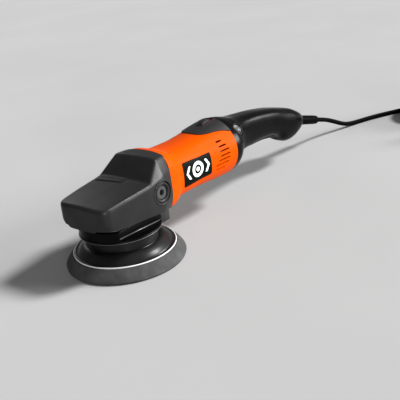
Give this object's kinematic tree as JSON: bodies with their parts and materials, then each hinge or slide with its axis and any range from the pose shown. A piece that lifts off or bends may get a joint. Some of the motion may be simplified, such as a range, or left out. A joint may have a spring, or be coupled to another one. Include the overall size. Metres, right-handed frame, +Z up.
{
  "type": "dual action polisher",
  "caption": "Mains dual action polisher: bevel gear head with an eccentric round pad, barrel motor housing, rear handle with trigger, coiled lead with plug.",
  "frame": {"origin": "where the drive spindle axis meets the hook face of the pad", "axes": "+X along the tool from the head to the cord, +Z up out of the pad, -Y the side with the lock button"},
  "size_m": [0.8037, 0.2634, 0.1266],
  "materials": {
    "cover_black": "satin, fine moulded texture",
    "skirt_black": "satin",
    "case_alloy": "bead blasted casting",
    "screw_steel": "blackened",
    "gear_steel": "oiled",
    "bright_steel": "ground",
    "plate_black": "glossy",
    "foam_grey": "fine open cells",
    "hook_dark": "short hooks",
    "housing_orange": "satin",
    "grip_rubber": "soft matte",
    "badge_black": "semi gloss print",
    "winding_copper": "varnished",
    "inner_plastic": "matte",
    "holder_brass": "bright",
    "brush_carbon": "dull",
    "handle_black": "satin, fine moulded texture",
    "button_black": "satin",
    "cord_black": "semi gloss",
    "pin_nickel": "nickel plated"
  },
  "bodies": {
    "tool": {"head_cover": "cover_black", "gear_case": "case_alloy", "bearing_flange": "case_alloy", "flange_screws": "screw_steel", "skirt": "skirt_black", "upper_bearing": "bright_steel", "lower_bearing": "bright_steel", "motor_housing": "housing_orange", "grip_pad": "grip_rubber", "badge_left": "badge_black", "badge_right": "badge_black", "housing_screws": "screw_steel", "stator_core": "gear_steel", "field_windings": "winding_copper", "fan_baffle": "inner_plastic", "front_motor_bearing": "bright_steel", "rear_motor_bearing": "bright_steel", "bearing_carrier": "inner_plastic", "brush_holders": "holder_brass", "brushes": "brush_carbon", "brush_springs": "bright_steel", "handle_left": "handle_black", "handle_right": "handle_black", "handle_screws": "screw_steel", "trigger_pin": "screw_steel", "trigger_spring": "bright_steel", "switch_body": "inner_plastic", "lock_spring": "bright_steel", "control_module": "inner_plastic", "cord_clamp": "inner_plastic", "clamp_screws": "screw_steel", "strain_relief": "cord_black", "power_cord": "cord_black", "cord_coil": "cord_black", "coil_tie": "cord_black", "cord_tail": "cord_black", "plug_body": "cord_black", "plug_pins": "pin_nickel"},
    "drive": {"crown_gear": "gear_steel", "drive_spindle": "bright_steel", "eccentric": "case_alloy", "set_screw": "screw_steel", "pad_bearings": "bright_steel", "retaining_ring": "screw_steel"},
    "armature": {"pinion": "gear_steel", "armature_shaft": "bright_steel", "armature_core": "gear_steel", "armature_windings": "winding_copper", "commutator": "winding_copper", "fan": "inner_plastic"},
    "pad": {"pad_spindle": "bright_steel", "plate_insert": "bright_steel", "backing_plate": "plate_black", "pad_foam": "foam_grey", "hook_layer": "hook_dark"},
    "trigger": {"trigger": "button_black"},
    "lock_button": {"lock_button": "button_black"},
    "speed_dial": {"speed_dial": "button_black"}
  },
  "joints": [
    {"name": "spindle_spin", "type": "hinge", "parent": "tool", "child": "drive", "pos_m": [0, 0, 0.045], "axis": [0, 0, 1], "continuous": true},
    {"name": "armature_spin", "type": "hinge", "parent": "tool", "child": "armature", "pos_m": [0.1, 0, 0.082], "axis": [1, 0, 0], "continuous": true},
    {"name": "pad_spin", "type": "hinge", "parent": "drive", "child": "pad", "pos_m": [0.0045, 0.002, 0.03], "axis": [0, 0, 1], "continuous": true},
    {"name": "trigger_press", "type": "hinge", "parent": "tool", "child": "trigger", "pos_m": [0.265, 0, 0.0672], "axis": [0, -1, 0], "range_deg": [0, 5], "stiffness_Nm_per_rad": 1.2, "springref_deg": -5.73},
    {"name": "lock_press", "type": "slide", "parent": "tool", "child": "lock_button", "axis": [0, 0.788, -0.6157], "range_m": [0, 0.0025], "stiffness_N_per_m": 400, "springref_m": -0.003},
    {"name": "speed_turn", "type": "hinge", "parent": "tool", "child": "speed_dial", "pos_m": [0.182, 0, 0.1126], "axis": [0, 1, 0], "range_deg": [0, 270]}
  ],
  "couplings": [
    {"joint": "armature_spin", "follows": "spindle_spin", "ratio": 3.8}
  ]
}
